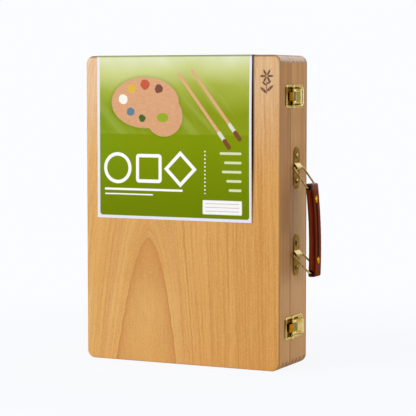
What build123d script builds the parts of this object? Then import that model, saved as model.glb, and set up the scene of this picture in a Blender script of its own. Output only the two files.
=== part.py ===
"""Artist's wooden sketch box with a hinged lid, standing on its short lower end.

Millimetres. X runs along the width, from the hinge side (low) to the latch and
handle side (high). Y runs along the depth, from the lid's panel (low) to the
base's panel (high). Z is up, along the length. The origin is the centre of the
lower end face.
"""

from build123d import *
import math
import os

os.makedirs("parts", exist_ok=True)

# ---------------------------------------------------------------- wooden box
box_width = 260.0
box_depth = 85.0
box_length = 375.0
lid_depth = 33.5
wall_thickness = 9.0
panel_thickness = 4.0
corner_radius = 10.0
outer_edge_radius = 1.5
rim_edge_chamfer = 0.6
seam_gap = 0.3
lid_finger_count = 5
base_finger_count = 8

# ------------------------------------------------------- inside the base, lid
divider_thickness = 5.0
divider_height = 31.0
divider_housing = 2.5
long_divider_from_latch_side = 92.0
cross_divider_from_end = 104.0

batten_thickness = 8.0
batten_height = 20.0
notch_width = 5.5
notch_depth = 6.0
notch_pitch = 28.0
notch_count = 8
bar_notch_index = 7
bar_width = 9.0
bar_height = 10.0
bar_edge_radius = 1.0
loose_gap = 0.3

palette_thickness = 4.0
palette_play = 1.5
palette_corner_radius = 18.0
thumb_hole_length = 40.0
thumb_hole_width = 27.0
thumb_hole_from_edge = 46.0
scallop_radius = 13.0
scallop_count = 4
scallop_pitch = 34.0

card_thickness = 0.35
card_left_margin = 15.6
card_width = 209.6
card_drop = 199.0
card_top_setback = 1.2
card_bow_width = 42.0
card_bow = ((0.0, 0.25), (0.2, 0.85), (0.42, 1.3), (0.66, 1.4), (0.84, 0.8), (0.965, 0.0))

# ------------------------------------------------------------- piano hinge
lid_opening_angle = 105.0
lid_stop_slack = 0.5
hinge_inset = 2.6
hinge_end_margin = 12.0
knuckle_radius = 1.6
knuckle_count = 21
knuckle_gap = 0.25
hinge_pin_radius = 0.8
pin_clearance = 0.05
barrel_clearance = 0.3
leaf_thickness = 0.8
hinge_screw_count = 7
hinge_screw_end_distance = 16.0

# ------------------------------------------------------------ draw latches
latch_from_end = 49.0
latch_width = 27.5
latch_sheet = 0.8
latch_rim_height = 2.2
latch_rim_width = 3.0
latch_rim_outer_roll = 0.9
latch_rim_inner_roll = 1.3
plate_corner_radius = 6.5
strike_corner_radius = 4.4
latch_seam_clearance = 0.6
latch_plate_length = 35.9
strike_length = 16.1
strike_lip_distance = 6.4

lever_width = 19.8
lever_sheet = 0.8
lever_pivot_distance = 3.4
lever_pivot_height = 2.3
lever_barrel_radius = 1.2
lever_length = 21.6
lever_tip_rise = 0.7
lever_tip_length = 3.6
lever_corner_radius = 3.0
lever_rib_width = 3.2
lever_rib_height = 0.9
lever_rib_end_margin = 3.0
lever_slot_width = 10.4
lever_side_clearance = 0.3
lever_rest_lift = (11.0, 0.0)
rivet_radius = 0.7
rivet_head_margin = 0.5
rivet_head_height = 0.5

hasp_width = 9.8
hasp_sheet = 0.8
hasp_pivot_offset = 7.0
hasp_barrel_radius = 1.2
hasp_pin_radius = 0.6
hasp_bead_distance = 1.3
hasp_bead_radius = 0.8
claw_past_seam = 9.3
hasp_claw_drop = 0.5
claw_clearance = 0.3
strike_lip_end_margin = 1.0
strike_screw_distance = 4.4
plate_screw_distances = (18.0, 28.6)

# ---------------------------------------------------------------- handle
handle_from_seam = 17.0
handle_above_middle = 0.85
bail_pivot_spacing = 105.3
handle_plate_length = 50.0
handle_plate_width = 17.0
handle_plate_thickness = 1.0
plate_screw_offset = 15.4
plate_below_pivot = 0.9
bridge_upper_foot = 5.4
bridge_lower_foot = 3.4
bridge_sheet = 1.0
bridge_foot_height = 0.9
tunnel_mouth_radius = 1.85
tunnel_mouth_depth = 3.0
bail_floor_gap = 0.55
bail_wire_radius = 1.15
bail_leg_spacing = 29.5
bail_length = 29.7
bail_corner_radius = 3.2
bail_clearance = 0.1
bail_rest_angles = (43.7, 53.4)

grip_width = 20.5
grip_end_thickness = 9.0
grip_middle_thickness = 8.8
grip_bow = 2.4
grip_end_length = 5.0
grip_edge_radius = 2.0
grip_core_margin = 1.8
grip_core_end_gap = 9.5
grip_end_rounding = 0.5
grip_seam_width = 1.5
grip_seam_depth = 0.9
grip_seam_end_margin = 0.6
eye_play_along = 1.9
eye_play_across = 0.62
eye_shift_across = -0.3
eye_mouth_radius = 2.9
eye_mouth_depth = 4.5
stud_from_pin = 14.4
stud_head_radius = 3.2
stud_head_stretch = 1.4
stud_head_height = 1.5
stud_shank_radius = 1.1
stud_slot_width = 0.7
stud_slot_depth = 0.45
stud_slot_angle = 32.0

# ----------------------------------------------------------------- screws
dome_head_radius = 3.6
dome_head_height = 2.1
dome_shank_radius = 1.1
dome_screw_length = 7.0
flat_head_radius = 1.6
flat_head_height = 0.7
flat_slot_width = 0.6
flat_slot_depth = 0.4
flat_shank_radius = 0.9
flat_screw_length = 7.5
screw_tip_length = 1.8
screw_slot_width = 0.8
screw_slot_depth = 0.8
screw_slot_angles = (40.0, -62.0, 58.0, 86.0)

# ------------------------------------------------------- places worked out
half_width = box_width / 2
half_depth = box_depth / 2
seam_y = -half_depth + lid_depth
lid_rim_y = seam_y - seam_gap / 2
base_rim_y = seam_y + seam_gap / 2
lid_floor_y = -half_depth + panel_thickness
base_floor_y = half_depth - panel_thickness
inner_x = half_width - wall_thickness
inner_low_z = wall_thickness
inner_high_z = box_length - wall_thickness
handle_centre_height = box_length / 2 + handle_above_middle
batten_top_y = lid_floor_y + batten_height
hinge_x = -half_width + hinge_inset
past = 5.0
touching = 0.01

nodes = {}


# ---------------------------------------------------------------- helpers
def block(x, y, z):
    """Box between two limits on each axis, each given as a (low, high) pair."""
    size = Box(x[1] - x[0], y[1] - y[0], z[1] - z[0])
    return Pos((x[0] + x[1]) / 2, (y[0] + y[1]) / 2, (z[0] + z[1]) / 2) * size


def facing(origin, normal):
    """Location whose +Z points along a horizontal normal, with its +Y along the box's Z."""
    across = Vector(0, 0, 1).cross(Vector(*normal))
    return Plane(origin=origin, x_dir=tuple(across), z_dir=normal).location


def prism(points, z):
    """Polygon in X and Y drawn out between two heights."""
    outline = make_face(Polyline(*points, close=True))
    return Pos(0, 0, z[0]) * extrude(outline, amount=z[1] - z[0])


def rod(x, y, z, radius):
    """Upright round bar about (x, y) between two heights."""
    return Pos(x, y, (z[0] + z[1]) / 2) * Cylinder(radius, z[1] - z[0])


def turned(outline):
    """Solid of revolution about Z from an outline of radius and height points."""
    profile = make_face(Polyline(*outline, close=True))
    return revolve(Plane.XZ * profile, Axis.Z)


def dome(radius, height):
    """Spherical cap standing on z = 0."""
    ball_radius = (radius**2 + height**2) / (2 * height)
    ball = Pos(0, 0, height - ball_radius) * Sphere(ball_radius)
    return ball & Pos(0, 0, height / 2) * Cylinder(radius, height)


def dome_screw(slot_angle):
    """Dome-headed screw: the head stands on z = 0 and the shank points down."""
    shank = turned(
        [
            (0, 0),
            (dome_shank_radius, 0),
            (dome_shank_radius, screw_tip_length - dome_screw_length),
            (0, -dome_screw_length),
        ]
    )
    slot = Box(3 * dome_head_radius, screw_slot_width, 2 * screw_slot_depth)
    slot = Pos(0, 0, dome_head_height) * Rot(0, 0, slot_angle) * slot
    return dome(dome_head_radius, dome_head_height) - slot + shank


def flat_screw():
    """Countersunk screw with its flat head level with z = 0."""
    return turned(
        [
            (0, 0),
            (flat_head_radius, 0),
            (flat_shank_radius, -flat_head_height),
            (flat_shank_radius, screw_tip_length - flat_screw_length),
            (0, -flat_screw_length),
        ]
    )


def slotted(flat_screws):
    """The same countersunk screws with a driver's slot across each head."""
    slot = Box(3 * flat_head_radius, flat_slot_width, 2 * flat_slot_depth)
    return [screw - screw.location * slot for screw in flat_screws]


def cut_all(shape, tools):
    for tool in tools:
        shape -= tool
    return shape


def spread(count, low, high):
    """Evenly spaced places from low to high, both included."""
    return [low + (high - low) * index / (count - 1) for index in range(count)]


# ------------------------------------------------------------- box shells
def outline_slab(y_low, y_high):
    """The box's rounded outline drawn out from y_low to y_high."""
    plane = Plane(origin=(0, y_high, box_length / 2), x_dir=(1, 0, 0), z_dir=(0, -1, 0))
    return extrude(plane * RectangleRounded(box_width, box_length, corner_radius), amount=y_high - y_low)


def edges_at(shape, y):
    return shape.edges().filter_by(lambda edge: abs(edge.bounding_box().min.Y - y) < 1e-4
                                   and abs(edge.bounding_box().max.Y - y) < 1e-4)


def hinge_bevel(side):
    """Wedge that is cut off a rim outside the hinge's axis, so that the lid stops open."""
    slope = math.tan(math.radians((lid_opening_angle + lid_stop_slack) / 2))
    outer = hinge_inset + past
    return prism(
        [
            (hinge_x, seam_y),
            (hinge_x - outer, seam_y),
            (hinge_x - outer, seam_y + side * outer * slope),
        ],
        (-past, box_length + past),
    )


hinge_z = (hinge_end_margin, box_length - hinge_end_margin)
barrel_channel = rod(hinge_x, seam_y, hinge_z, knuckle_radius + barrel_clearance)


def leaf_span(side):
    """Y limits of a hinge leaf let into a rim: side is 1 in the base and -1 in the lid."""
    face = seam_y + side * seam_gap / 2
    return tuple(sorted((face, face + side * leaf_thickness)))


def shell(y_low, y_high, rim_y, side):
    """Whole outer form of the lid or base, which its walls and panel are cut from."""
    solid = outline_slab(y_low, y_high)
    outer_y = y_low if side < 0 else y_high
    solid = fillet(edges_at(solid, outer_y), outer_edge_radius)
    solid = chamfer(edges_at(solid, rim_y), rim_edge_chamfer)
    rebate = block((hinge_x, -inner_x + past), leaf_span(side), hinge_z)
    return cut_all(solid, [hinge_bevel(side), barrel_channel, rebate])


def corner_layers(y_low, y_high, count, first):
    """Every second finger's Y limits in a comb joint of count fingers, from the first."""
    step = (y_high - y_low) / count
    return [(y_low + step * index, y_low + step * (index + 1)) for index in range(first, count, 2)]


def comb_walls(form, y_low, y_high, count):
    """The four walls of a frame, joined at their corners by comb fingers."""
    low_corner = (-past, inner_low_z)
    high_corner = (inner_high_z, box_length + past)
    left_corner = (-half_width - past, -inner_x)
    right_corner = (inner_x, half_width + past)
    slots = {}
    for first in (0, 1):
        slots[first] = [
            block(x, layer, z)
            for layer in corner_layers(y_low, y_high, count, first)
            for x in (left_corner, right_corner)
            for z in (low_corner, high_corner)
        ]
    whole_x = (-half_width - past, half_width + past)
    whole_z = (-past, box_length + past)
    depth = (y_low, y_high)
    walls = {
        "latch_side": cut_all(form & block(right_corner, depth, whole_z), slots[1]),
        "hinge_side": cut_all(form & block(left_corner, depth, whole_z), slots[1]),
        "lower_end": cut_all(form & block(whole_x, depth, low_corner), slots[0]),
        "upper_end": cut_all(form & block(whole_x, depth, high_corner), slots[0]),
    }
    return walls


lid_form = shell(-half_depth, lid_rim_y, lid_rim_y, -1)
base_form = shell(base_rim_y, half_depth, base_rim_y, 1)
lid_walls = comb_walls(lid_form, lid_floor_y, lid_rim_y, lid_finger_count)
base_walls = comb_walls(base_form, base_rim_y, base_floor_y, base_finger_count)
everywhere_x = (-box_width, box_width)
everywhere_z = (-box_length, 2 * box_length)
lid_panel = lid_form & block(everywhere_x, (-box_depth, lid_floor_y), everywhere_z)
base_panel = base_form & block(everywhere_x, (base_floor_y, box_depth), everywhere_z)


# ------------------------------------------------------------ piano hinge
def hinge_leaf(side, first_knuckle):
    """One leaf: a strip let into the rim, with every second knuckle rolled round the pin."""
    step = (hinge_z[1] - hinge_z[0]) / knuckle_count
    notch_edge = hinge_x + knuckle_radius + barrel_clearance
    leaf = block((notch_edge, -inner_x), leaf_span(side), hinge_z)
    for index in range(first_knuckle, knuckle_count, 2):
        low = hinge_z[0] + step * index + knuckle_gap / 2
        span = (low, low + step - knuckle_gap)
        leaf += block((hinge_x, notch_edge), leaf_span(side), span)
        leaf += rod(hinge_x, seam_y, span, knuckle_radius)
    return leaf - rod(hinge_x, seam_y, hinge_z, hinge_pin_radius + pin_clearance)


def hinge_screws(side):
    """Countersunk screws through one leaf into its rim."""
    middle = (hinge_x + knuckle_radius + barrel_clearance - inner_x) / 2
    face = seam_y + side * seam_gap / 2
    places = spread(
        hinge_screw_count, hinge_z[0] + hinge_screw_end_distance, hinge_z[1] - hinge_screw_end_distance
    )
    return [facing((middle, face, z), (0, -side, 0)) * flat_screw() for z in places]


base_hinge_screws = hinge_screws(1)
lid_hinge_screws = hinge_screws(-1)
nodes["hinge_leaf_base"] = cut_all(hinge_leaf(1, 0), base_hinge_screws)
nodes["hinge_leaf_lid"] = cut_all(hinge_leaf(-1, 1), lid_hinge_screws)
nodes["hinge_pin"] = rod(hinge_x, seam_y, hinge_z, hinge_pin_radius)
nodes["hinge_screws_base"] = Compound(children=slotted(base_hinge_screws))
nodes["hinge_screws_lid"] = Compound(children=slotted(lid_hinge_screws))
base_walls["hinge_side"] = cut_all(base_walls["hinge_side"], base_hinge_screws)
lid_walls["hinge_side"] = cut_all(lid_walls["hinge_side"], lid_hinge_screws)

# ---------------------------------------------------- dividers in the base
divider_y = (base_floor_y - divider_height, base_floor_y)
long_divider_x = inner_x - long_divider_from_latch_side
long_divider = block(
    (long_divider_x - divider_thickness, long_divider_x),
    divider_y,
    (inner_low_z - divider_housing, inner_high_z + divider_housing),
)
cross_dividers = {}
for name, centre_z in (
    ("lower", inner_low_z + cross_divider_from_end),
    ("upper", inner_high_z - cross_divider_from_end),
):
    cross_dividers[name] = block(
        (long_divider_x - divider_housing, inner_x + divider_housing),
        divider_y,
        (centre_z - divider_thickness / 2, centre_z + divider_thickness / 2),
    )
    nodes["divider_cross_" + name] = cross_dividers[name]
    base_walls["latch_side"] -= cross_dividers[name]
for end in ("lower_end", "upper_end"):
    base_walls[end] -= long_divider
nodes["divider_long"] = cut_all(long_divider, cross_dividers.values())


# ----------------------------------------------------- fittings in the lid
def notch_x(index):
    return notch_pitch * (index - (notch_count - 1) / 2)


def lid_batten(z):
    """Side batten with a row of notches for the bar in its inner edge."""
    batten = block((-inner_x, inner_x), (lid_floor_y, batten_top_y), z)
    for index in range(notch_count):
        centre = notch_x(index)
        batten -= block(
            (centre - notch_width / 2, centre + notch_width / 2),
            (batten_top_y - notch_depth, batten_top_y + past),
            (z[0] - past, z[1] + past),
        )
    return batten


batten_inner_low_z = inner_low_z + batten_thickness
batten_inner_high_z = inner_high_z - batten_thickness
nodes["lid_batten_lower"] = lid_batten((inner_low_z, batten_inner_low_z))
nodes["lid_batten_upper"] = lid_batten((batten_inner_high_z, inner_high_z))


def panel_bar():
    """Loose bar across the lid, whose narrow ends drop into a pair of notches."""
    centre = notch_x(bar_notch_index)
    tongue = notch_width / 2 - loose_gap
    body = block(
        (centre - bar_width / 2, centre + bar_width / 2),
        (batten_top_y - bar_height, batten_top_y),
        (batten_inner_low_z + loose_gap, batten_inner_high_z - loose_gap),
    )
    body = fillet(body.edges().filter_by(Axis.Z), bar_edge_radius)
    ends = block(
        (centre - tongue, centre + tongue),
        (batten_top_y - notch_depth + loose_gap, batten_top_y),
        (inner_low_z + loose_gap, inner_high_z - loose_gap),
    )
    return body + ends


def palette():
    """Plywood palette: a thumb hole near one corner and brush scallops along one end."""
    width = 2 * (inner_x - palette_play)
    length = batten_inner_high_z - batten_inner_low_z - 2 * palette_play
    sheet = RectangleRounded(width, length, palette_corner_radius)
    hole = Pos(-width / 2 + thumb_hole_from_edge, -length / 2 + thumb_hole_from_edge) * Ellipse(
        thumb_hole_length / 2, thumb_hole_width / 2
    )
    sheet -= hole
    for index in range(scallop_count):
        along = scallop_pitch * (index - (scallop_count - 1) / 2)
        sheet -= Pos(along, length / 2 + scallop_radius / 3) * Circle(scallop_radius)
    plane = Plane(
        origin=(0, lid_floor_y + palette_thickness, box_length / 2), x_dir=(1, 0, 0), z_dir=(0, -1, 0)
    )
    return extrude(plane * sheet, amount=palette_thickness)


nodes["panel_bar"] = panel_bar()
nodes["palette"] = palette()


def label_card():
    """Thin card down the front of the lid, folded over its upper end. Its free edge bows off the panel."""
    front_y = -half_depth
    left = -half_width + card_left_margin
    right = left + card_width
    bend = right - card_bow_width
    top = box_length
    sections = []
    for share, bow in card_bow:
        outline = Polyline(
            (left, front_y),
            (bend, front_y),
            (right, front_y - bow),
            (right, front_y - bow - card_thickness),
            (bend, front_y - card_thickness),
            (left, front_y - card_thickness),
            close=True,
        )
        sections.append(Pos(0, 0, top - card_drop * (1 - share)) * make_face(outline))
    fold_start = top - card_drop * (1 - card_bow[-1][0])
    outer = block((left, right), (front_y - card_thickness, lid_rim_y - card_top_setback),
                  (fold_start, top + card_thickness))
    fold = edges_at(outer, front_y - card_thickness).sort_by(Axis.Z)[-1]
    outer = fillet(fold, outer_edge_radius + card_thickness)
    inner = block((left - past, right + past), (front_y, half_depth), (-past, top))
    inner_fold = edges_at(inner, front_y).sort_by(Axis.Z)[-1]
    return outer - fillet(inner_fold, outer_edge_radius) + loft(sections, ruled=True)


nodes["label_card"] = label_card()


# --------------------------------------------------------------- latches
def latch_prism(points, z):
    """Latch profile drawn along Z. Points are (distance past the seam, height off the side)."""
    return prism([(half_width + height, seam_y + distance) for distance, height in points], z)


def latch_rod(distance, height, z, radius):
    return rod(half_width + height, seam_y + distance, z, radius)


def mirrored_spans(centre, near, far):
    """Two Z spans, each side of a centre, from a near to a far distance."""
    return [(centre - far, centre - near), (centre + near, centre + far)]


def sheet_on_side(distance, width, centre, height, corner_radius_there):
    """Flat plate on the latch side, with rounded corners at its end away from the seam."""
    far = max(distance, key=abs)
    near = min(distance, key=abs)
    plate = block(
        (half_width, half_width + height),
        tuple(sorted((seam_y + near, seam_y + far))),
        (centre - width / 2, centre + width / 2),
    )
    corners = plate.edges().filter_by(Axis.X).sort_by(lambda edge: abs(edge.center().Y - seam_y))[-2:]
    return fillet(corners, corner_radius_there)


def tray(distance, centre, corner_radius_there):
    """Pressed tray with a low rolled rim on three sides, open towards the seam."""

    def from_seam(edge):
        return abs(edge.center().Y - seam_y)

    outside = sheet_on_side(distance, latch_width, centre, latch_rim_height, corner_radius_there)
    top_edges = outside.edges().group_by(Axis.X)[-1].sort_by(from_seam)
    outside = fillet(top_edges[1:], latch_rim_outer_roll)
    far = max(distance, key=abs)
    direction = math.copysign(1, far)
    hollow = (-direction * past, far - direction * latch_rim_width)
    pocket = sheet_on_side(
        hollow,
        2 * rim_inner,
        centre,
        latch_rim_height + past,
        corner_radius_there - latch_rim_width,
    )
    shape = outside - Pos(latch_sheet, 0, 0) * pocket
    inner_edges = shape.edges().group_by(Axis.X)[-1].filter_by(
        lambda edge: abs(edge.center().Z - centre) < rim_inner + touching
        and from_seam(edge) < abs(hollow[1]) + touching
    )
    return fillet(inner_edges, latch_rim_inner_roll)


pivot = (lever_pivot_distance, lever_pivot_height)
hasp_pivot = (lever_pivot_distance + hasp_pivot_offset, lever_pivot_height)
lever_top = lever_pivot_height + lever_barrel_radius
lever_under = lever_top - lever_sheet
lever_half = lever_width / 2
slot_half = lever_slot_width / 2
rim_inner = latch_width / 2 - latch_rim_width
plate_far = latch_seam_clearance + latch_plate_length
hasp_under = lever_pivot_height - hasp_sheet / 2
claw_tip_height = hasp_under - hasp_claw_drop
claw_far = -claw_past_seam


def latch_plate(centre):
    """Base plate of a draw latch: a tray with an ear each side for the lever's rivets."""
    plate = tray((latch_seam_clearance, plate_far), centre, plate_corner_radius)
    for span in mirrored_spans(centre, rim_inner, latch_width / 2):
        ear_half = lever_barrel_radius
        ear = latch_prism(
            [
                (pivot[0] - ear_half, latch_sheet),
                (pivot[0] + ear_half, latch_sheet),
                (pivot[0] + ear_half, pivot[1]),
                (pivot[0] - ear_half, pivot[1]),
            ],
            span,
        )
        plate += ear + latch_rod(*pivot, span, ear_half)
    return plate


def latch_rivets(centre):
    """Two stub rivets, from the ears into the lever's barrels."""
    spans = mirrored_spans(centre, slot_half + lever_rib_width, latch_width / 2)
    rivets = []
    for direction, span in zip((-1, 1), spans):
        stub = latch_rod(*pivot, span, rivet_radius)
        head_z = centre + direction * latch_width / 2
        head = Pos(half_width + pivot[1], seam_y + pivot[0], head_z) * (
            Rot(0, 0 if direction > 0 else 180, 0) * dome(rivet_radius + rivet_head_margin, rivet_head_height)
        )
        rivets.append(stub + head)
    return rivets


def latch_lever(centre):
    """Closed lever: two rolled barrels, a slotted plate with ribs and a raised tip."""
    plate_start = pivot[0]
    plate_end = plate_start + lever_length - lever_tip_length
    tip_end = plate_start + lever_length
    lever = latch_prism(
        [
            (plate_start, lever_under),
            (plate_end, lever_under),
            (tip_end, lever_under + lever_tip_rise),
            (tip_end, lever_top + lever_tip_rise),
            (plate_end, lever_top),
            (plate_start, lever_top),
        ],
        (centre - lever_half, centre + lever_half),
    )
    lever &= sheet_on_side((0, tip_end), lever_width, centre, 3 * lever_top, lever_corner_radius)
    slot_end = hasp_pivot[0] + hasp_barrel_radius + lever_side_clearance
    lever -= latch_prism(
        [(-past, 0), (slot_end, 0), (slot_end, 2 * lever_top), (-past, 2 * lever_top)],
        (centre - slot_half, centre + slot_half),
    )
    for span in mirrored_spans(centre, slot_half + lever_side_clearance, lever_half):
        lever += latch_rod(*pivot, span, lever_barrel_radius)
    rib_radius = (lever_rib_width**2 / 4 + lever_rib_height**2) / (2 * lever_rib_height)
    rib_low = plate_start + lever_barrel_radius + rib_radius
    rib_high = tip_end - lever_rib_end_margin - rib_radius
    for near, far in mirrored_spans(0, slot_half, slot_half + lever_rib_width):
        rib_x = half_width + lever_top + lever_rib_height - rib_radius
        rib_z = centre + (near + far) / 2
        rib = Pos(rib_x, seam_y + (rib_low + rib_high) / 2, rib_z) * Rot(90, 0, 0) * Cylinder(
            rib_radius, rib_high - rib_low
        )
        for end in (rib_low, rib_high):
            rib += Pos(rib_x, seam_y + end, rib_z) * Sphere(rib_radius)
        rib &= block(
            (half_width + lever_under, half_width + 3 * lever_top),
            (seam_y, seam_y + tip_end),
            (centre + near, centre + far),
        )
        cheek = latch_prism(
            [
                (pivot[0], pivot[1]),
                (hasp_pivot[0], hasp_pivot[1] - hasp_barrel_radius),
                (hasp_pivot[0] + hasp_barrel_radius, hasp_pivot[1]),
                (hasp_pivot[0] + hasp_barrel_radius, lever_under),
                (pivot[0], lever_under),
            ],
            (centre + near, centre + far),
        )
        lever += rib + cheek
    for span in mirrored_spans(centre, slot_half - past / 2, latch_width):
        lever -= latch_rod(*pivot, span, rivet_radius + pin_clearance)
    return lever - hasp_pin(centre)


def hasp_pin(centre):
    """Pin across the lever's cheeks that the hasp turns on."""
    reach = slot_half + lever_rib_width
    return latch_rod(*hasp_pivot, (centre - reach, centre + reach), hasp_pin_radius)


def latch_hasp(centre):
    """Closed hasp: a barrel on its pin, a beaded flat tongue and a turned-down claw."""
    across = (centre - hasp_width / 2, centre + hasp_width / 2)
    top = hasp_under + hasp_sheet
    tongue = latch_prism(
        [
            (hasp_pivot[0], hasp_under),
            (hasp_pivot[0], top),
            (claw_far, top),
            (claw_far, claw_tip_height),
            (claw_far + hasp_sheet, claw_tip_height),
            (claw_far + hasp_sheet, hasp_under),
        ],
        across,
    )
    hasp = tongue + latch_rod(*hasp_pivot, across, hasp_barrel_radius)
    hasp += latch_rod(hasp_bead_distance, lever_pivot_height, across, hasp_bead_radius)
    return hasp - latch_rod(*hasp_pivot, across, hasp_pin_radius + pin_clearance)


def strike(centre):
    """Strike on the lid: a tray with a low lip under the hasp's claw."""
    shape = tray((-latch_seam_clearance, -latch_seam_clearance - strike_length), centre, strike_corner_radius)
    lip_top = claw_tip_height - claw_clearance
    lip_half = hasp_width / 2 - strike_lip_end_margin
    lip = latch_prism(
        [
            (-strike_lip_distance, latch_sheet),
            (-strike_lip_distance - latch_sheet, latch_sheet),
            (-strike_lip_distance - latch_sheet, lip_top),
            (-strike_lip_distance, lip_top),
        ],
        (centre - lip_half, centre + lip_half),
    )
    return shape + lip


def side_screws(places, height):
    """Countersunk screws into the latch side at (distance past the seam, Z) places."""
    return [
        facing((half_width + height, seam_y + distance, z), (1, 0, 0)) * flat_screw()
        for distance, z in places
    ]


latch_centres = {"lower": latch_from_end, "upper": box_length - latch_from_end}
strike_screws = []
plate_screws = []
screw_side = (hasp_width / 2 + rim_inner) / 2
for (name, centre), lift in zip(latch_centres.items(), lever_rest_lift):
    swing = math.radians(lift)
    hasp_shift = Pos(
        hasp_pivot_offset * math.sin(swing), hasp_pivot_offset * (math.cos(swing) - 1), 0
    )
    about_pivot = Pos(half_width + pivot[1], seam_y + pivot[0], 0)
    lever_turn = about_pivot * Rot(0, 0, -lift) * about_pivot.inverse()
    here = side_screws(
        [(-strike_screw_distance, centre + side * screw_side) for side in (-1, 1)], latch_sheet
    )
    nodes["latch_strike_" + name] = cut_all(strike(centre), here)
    strike_screws += here
    near, far = plate_screw_distances
    here = side_screws(
        [(near, centre), (far, centre - screw_side), (far, centre + screw_side)], latch_sheet
    )
    rivets = latch_rivets(centre)
    nodes["latch_plate_" + name] = cut_all(latch_plate(centre), here + rivets)
    nodes["latch_rivets_" + name] = Compound(children=rivets)
    plate_screws += here
    nodes["latch_lever_" + name] = lever_turn * latch_lever(centre)
    nodes["hasp_pin_" + name] = lever_turn * hasp_pin(centre)
    nodes["latch_hasp_" + name] = hasp_shift * latch_hasp(centre)
nodes["strike_screws"] = Compound(children=slotted(strike_screws))
nodes["latch_plate_screws"] = Compound(children=slotted(plate_screws))
lid_walls["latch_side"] = cut_all(lid_walls["latch_side"], strike_screws)
base_walls["latch_side"] = cut_all(base_walls["latch_side"], plate_screws)

# ----------------------------------------------------------------- handle
handle_y = seam_y + handle_from_seam
tunnel_radius = bail_wire_radius + bail_clearance
bail_height = handle_plate_thickness + bail_floor_gap + tunnel_radius
handle_pivots = {
    "lower": handle_centre_height - bail_pivot_spacing / 2,
    "upper": handle_centre_height + bail_pivot_spacing / 2,
}


def bridge_flank(foot_distance, radius):
    """Wedge from a foot on the plate, tangent to a circle of a radius about the bail's bar."""
    foot = handle_plate_thickness
    rise = bail_height - foot
    to_centre = math.atan2(rise, -foot_distance)
    slope = to_centre - math.asin(radius / math.hypot(rise, foot_distance))
    touch = (radius * math.sin(slope), bail_height - radius * math.cos(slope))
    return make_face(Polyline((foot_distance, foot), touch, (0, bail_height), (0, foot), close=True))


def handle_plate(pivot_z):
    """Round-ended plate with a bridge pressed up over the bail's bar."""
    ground = facing((half_width, handle_y, pivot_z), (1, 0, 0))
    slot = SlotOverall(handle_plate_length, handle_plate_width, rotation=90)
    flat = extrude(Pos(0, -plate_below_pivot, 0) * slot, amount=handle_plate_thickness)
    crown = tunnel_radius + bridge_sheet
    foot = handle_plate_thickness
    bridge_profile = (
        Pos(0, bail_height) * Circle(crown)
        + bridge_flank(bridge_upper_foot, crown)
        + make_face(
            Polyline(
                (0, foot),
                (0, bail_height),
                (-crown, bail_height),
                (-crown, foot + bridge_foot_height),
                (-bridge_lower_foot, foot),
                close=True,
            )
        )
    )
    bridge_profile -= Pos(0, foot - crown) * Rectangle(4 * crown, 2 * crown)
    inner_foot = bridge_upper_foot - 2 * bridge_sheet
    tunnel = (
        Pos(0, bail_height) * Circle(tunnel_radius)
        + bridge_flank(inner_foot, tunnel_radius)
        + Pos(0, foot) * Rectangle(2 * tunnel_radius, 2 * (bail_height - foot))
    )
    across = Plane(origin=(handle_plate_width / 2, 0, 0), x_dir=(0, 1, 0), z_dir=(1, 0, 0))
    bridge = extrude(across * (bridge_profile - tunnel), amount=-handle_plate_width)
    for side in (-1, 1):
        mouth_x = side * (handle_plate_width - tunnel_mouth_depth) / 2
        bridge -= Pos(mouth_x, 0, bail_height) * Rot(0, 90, 0) * Cylinder(
            tunnel_mouth_radius, tunnel_mouth_depth
        )
    return ground * (flat + bridge)


def bail(pivot_z, angle):
    """Rectangular wire ring, hung from its bridge at an angle below square to the side."""
    half = bail_leg_spacing / 2
    corner = bail_corner_radius
    straight = bail_length - 2 * corner
    wire = Circle(bail_wire_radius)
    ring = None
    for x, mirror in ((0, 1), (bail_length, -1)):
        bar = Pos(x, 0, 0) * Rot(90, 0, 0) * Cylinder(bail_wire_radius, bail_leg_spacing - 2 * corner)
        ring = bar if ring is None else ring + bar
        for side in (-1, 1):
            centre = (x + mirror * corner, side * (half - corner), 0)
            section = Plane(origin=(x, centre[1], 0), x_dir=(1, 0, 0), z_dir=(0, side, 0)) * wire
            turn = Axis(centre, (0, 0, -side * mirror))
            ring += revolve(section, turn, 90)
    for side in (-1, 1):
        leg = Rot(0, 90, 0) * Cylinder(bail_wire_radius, straight)
        ring += Pos(bail_length / 2, side * half, 0) * leg
    return Pos(half_width + bail_height, handle_y, pivot_z) * Rot(0, angle, 0) * ring


def grip_pin(name):
    """Centre (X, Z) of the bail's outer bar, which runs through the grip's eye."""
    angle = math.radians(dict(zip(("lower", "upper"), bail_rest_angles))[name])
    return (
        half_width + bail_height + bail_length * math.cos(angle),
        handle_pivots[name] - bail_length * math.sin(angle),
    )


pin_low, pin_high = grip_pin("lower"), grip_pin("upper")
pin_spacing = math.dist(pin_low, pin_high)
grip_tilt = math.degrees(math.atan2(pin_low[0] - pin_high[0], pin_high[1] - pin_low[1]))
grip_place = Pos((pin_low[0] + pin_high[0]) / 2, handle_y, (pin_low[1] + pin_high[1]) / 2) * Rot(
    0, -grip_tilt, 0
)


def grip_body(margin, end_gap):
    """Bowed bar along Z, inset by a margin all round and stopping short of each end."""
    end = grip_end_thickness / 2 - margin
    middle = grip_middle_thickness / 2 - margin
    reach = pin_spacing / 2 + grip_end_length - end_gap
    outline = make_face(
        ThreePointArc((end, -reach), (grip_bow + middle, 0), (end, reach))
        + Line((end, reach), (-end, reach))
        + ThreePointArc((-end, reach), (grip_bow - middle, 0), (-end, -reach))
        + Line((-end, -reach), (end, -reach))
    )
    outline = fillet(outline.vertices(), grip_end_rounding * end)
    width = grip_width - 2 * margin
    plane = Plane(origin=(0, width / 2, 0), x_dir=(1, 0, 0), z_dir=(0, -1, 0))
    return extrude(plane * outline, amount=width)


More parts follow.
